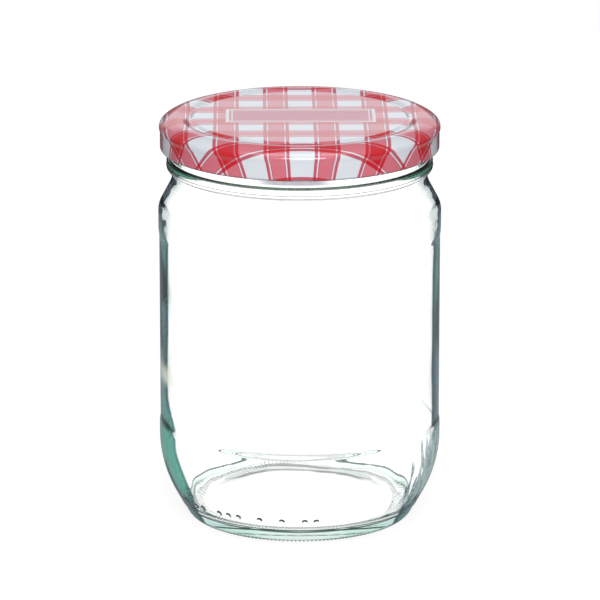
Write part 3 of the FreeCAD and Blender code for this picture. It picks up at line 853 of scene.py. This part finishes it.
# ---------------------------------------------------------------- looks of the plain parts
def enamel_material():
    """Light enamel on the inside of the lid."""
    material, n = new_material("light_enamel")
    cloud = n.noise(n.add("ShaderNodeTexCoord").outputs["Object"], 60.0, 3.0)
    colour = n.ramp(cloud, [(0.3, srgb(222, 224, 220)), (0.7, srgb(232, 233, 229))])
    shader = n.add("ShaderNodeBsdfPrincipled", {"Base Color": colour, "Roughness": 0.35})
    n.add("ShaderNodeOutputMaterial", {"Surface": shader.outputs[0]})
    return material


def liner_material():
    """Soft light grey compound of the sealing ring."""
    material, n = new_material("soft_liner")
    cloud = n.noise(n.add("ShaderNodeTexCoord").outputs["Object"], 400.0, 3.0)
    colour = n.ramp(cloud, [(0.3, srgb(205, 204, 196)), (0.7, srgb(216, 215, 208))])
    bump = n.add("ShaderNodeBump", {"Height": cloud, "Strength": 0.2, "Distance": 0.0002})
    shader = n.add("ShaderNodeBsdfPrincipled", {"Base Color": colour, "Roughness": 0.6,
                                                "Normal": bump.outputs[0]})
    n.add("ShaderNodeOutputMaterial", {"Surface": shader.outputs[0]})
    return material


# ---------------------------------------------------------------- studio
WHITE = (1.0, 1.0, 1.0)
FLAG = (0.26, 0.31, 0.33)        # dark flags low around the set, seen in reflections
FLAG_FAR = (0.05, 0.055, 0.065)
FLAG_TURN = (0.38, 0.50)         # metres from the jar over which the one becomes the other
BENT_NEAR = (0.98, 1.0, 0.99)    # met instead by light that was reflected inside the glass
BENT_FAR = (0.85, 0.90, 0.90)
BENT_TURN = (0.10, 0.22)
BACKDROP = (0.90, 0.96, 1.0)     # the narrow lit backdrop, seen in reflections
BACKDROP_HIGH = (0.32, 0.50)     # its ends, as the part of a direction that goes up or aside
BACKDROP_LOW = (0.185, 0.135)
BACKDROP_ENDS = (0.30, 0.42)
AROUND = (0.16, 0.18, 0.20)      # the dim space around it
AMBIENT = 0.82                   # light from the world in front and behind, and from its flanks
AMBIENT_FLANK = 0.12
FLANK_TURN = (0.45, 0.80)
FLOOR_HALF = 3.0
FLOOR_DROP = 0.0001
FLOOR_GREY = 0.80
FLOOR_LIFT = 0.42                # glow that keeps the floor white where it is looked at
FLOOR_LIFT_BENT = 0.45


def light_kinds(n):
    """Whether a ray is one that is looked along, was reflected, or went through glass."""
    path = n.add("ShaderNodeLightPath").outputs
    seen = n.any_of(path["Is Camera Ray"], path["Is Transmission Ray"], path["Is Glossy Ray"])
    reflected = n.math("GREATER_THAN", path["Glossy Depth"], 0.5)
    through = n.math("GREATER_THAN", path["Transmission Depth"], 0.5)
    return seen, reflected, through


def make_world():
    """White to look at, a backdrop in reflections, and as a light dimmer at its flanks."""
    world = bpy.data.worlds.new("studio")
    bpy.context.scene.world = world
    world.use_nodes = True
    n = Nodes(world.node_tree)
    seen, reflected, through = light_kinds(n)
    toward = n.add("ShaderNodeSeparateXYZ", {
        "Vector": n.add("ShaderNodeTexCoord").outputs["Generated"]}).outputs
    aside = n.math("ABSOLUTE", toward["X"])
    ambient = n.mix(n.step(aside, *FLANK_TURN), tone(AMBIENT), tone(AMBIENT_FLANK))
    level = n.mix(seen, ambient, WHITE)
    past = n.any_of(n.step(toward["Z"], *BACKDROP_HIGH), n.step(toward["Z"], *BACKDROP_LOW),
                    n.step(aside, *BACKDROP_ENDS))
    mirrored = n.mix(through, n.mix(past, BACKDROP, AROUND), BENT_NEAR)
    colour = n.mix(n.all_of(reflected, seen), level, mirrored)
    back = n.add("ShaderNodeBackground", {"Color": colour, "Strength": 1.0})
    n.add("ShaderNodeOutputWorld", {"Surface": back.outputs[0]})


def floor_material():
    """White, and dark in reflections like the flags of a studio."""
    material, n = new_material("white_floor")
    seen, reflected, through = light_kinds(n)
    where = n.add("ShaderNodeTexCoord").outputs["Object"]
    away = n.add("ShaderNodeVectorMath", {0: where}, operation="LENGTH").outputs["Value"]
    plain = n.mix(n.step(away, *FLAG_TURN), FLAG, FLAG_FAR)
    bent = n.mix(n.step(away, *BENT_TURN), BENT_NEAR, BENT_FAR)
    dark = n.add("ShaderNodeEmission", {"Color": n.mix(through, plain, bent), "Strength": 1.0})
    diffuse = n.add("ShaderNodeBsdfDiffuse", {"Color": tone(FLOOR_GREY)})
    glow = n.math("ADD", n.math("MULTIPLY", seen, FLOOR_LIFT),
                  n.math("MULTIPLY", through, FLOOR_LIFT_BENT))
    lift = n.add("ShaderNodeEmission", {"Color": tone(1.0), "Strength": glow})
    white = n.add("ShaderNodeAddShader", {0: diffuse.outputs[0], 1: lift.outputs[0]})
    both = n.add("ShaderNodeMixShader", {"Fac": reflected, 1: white.outputs[0],
                                         2: dark.outputs[0]})
    n.add("ShaderNodeOutputMaterial", {"Surface": both.outputs[0]})
    return material


def make_floor():
    corners = [(x * FLOOR_HALF, y * FLOOR_HALF, 0)
               for x, y in ((-1, -1), (1, -1), (1, 1), (-1, 1))]
    mesh = bpy.data.meshes.new("studio_floor")
    mesh.from_pydata(corners, [], [(0, 1, 2, 3)])
    mesh.materials.append(floor_material())
    floor = bpy.data.objects.new("studio_floor", mesh)
    bpy.context.scene.collection.objects.link(floor)
    floor.location.z = -FLOOR_DROP


def area_light(name, place, width, depth, power, top):
    """Rectangular lamp that looks at the jar's axis at this height."""
    light = bpy.data.lights.new(name, "AREA")
    light.shape = "RECTANGLE"
    light.size, light.size_y, light.energy = width, depth, power
    lamp = bpy.data.objects.new(name, light)
    bpy.context.scene.collection.objects.link(lamp)
    lamp.location = place
    toward = Vector((0, 0, top)) - Vector(place)
    lamp.rotation_euler = toward.to_track_quat("-Z", "Y").to_euler()


# Name, place, width, depth and power in watts of each lamp.
LAMPS = (("overhead", (0, -0.3, 1.3), 1.2, 0.8, 3.0),
         ("front_fill", (0.1, -1.6, 0.7), 1.0, 0.6, 7.5))

# Fitted to the photo: degrees above level, metres, then millimetres of sensor and lens.
ELEVATION = 15.89
DISTANCE = 1.921
AIM_HEIGHT = 0.08085
ASIDE = 0.00011
FAR_CLIP = 20.0
SENSOR = 36.0
FOCAL = 311.9


def make_camera():
    camera = bpy.data.cameras.new("camera")
    camera.sensor_width, camera.lens, camera.clip_end = SENSOR, FOCAL, FAR_CLIP
    holder = bpy.data.objects.new("camera", camera)
    bpy.context.scene.collection.objects.link(holder)
    holder.location = (ASIDE, -DISTANCE * cos(ELEVATION), AIM_HEIGHT + DISTANCE * sin(ELEVATION))
    holder.rotation_euler = (math.radians(90 - ELEVATION), 0, 0)
    bpy.context.scene.camera = holder


# ---------------------------------------------------------------- assembly
bpy.context.scene.view_settings.view_transform = "Standard"
make_camera()
make_world()
make_floor()
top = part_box("lid")[1].z
for lamp in LAMPS:
    area_light(*lamp, top)

glass = make_glass()
glass.data.materials.append(glass_material())
# rays that leave a matt face pass the glass by
glass.visible_diffuse = False
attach(glass, "root")
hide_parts("jar")

lid = make_lid()
lid.data.materials.append(lid_material())
lid.data.materials.append(enamel_material())
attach(lid, "root")
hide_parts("lid")

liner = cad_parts["sealing_ring"]
liner.data.materials.clear()
liner.data.materials.append(liner_material())
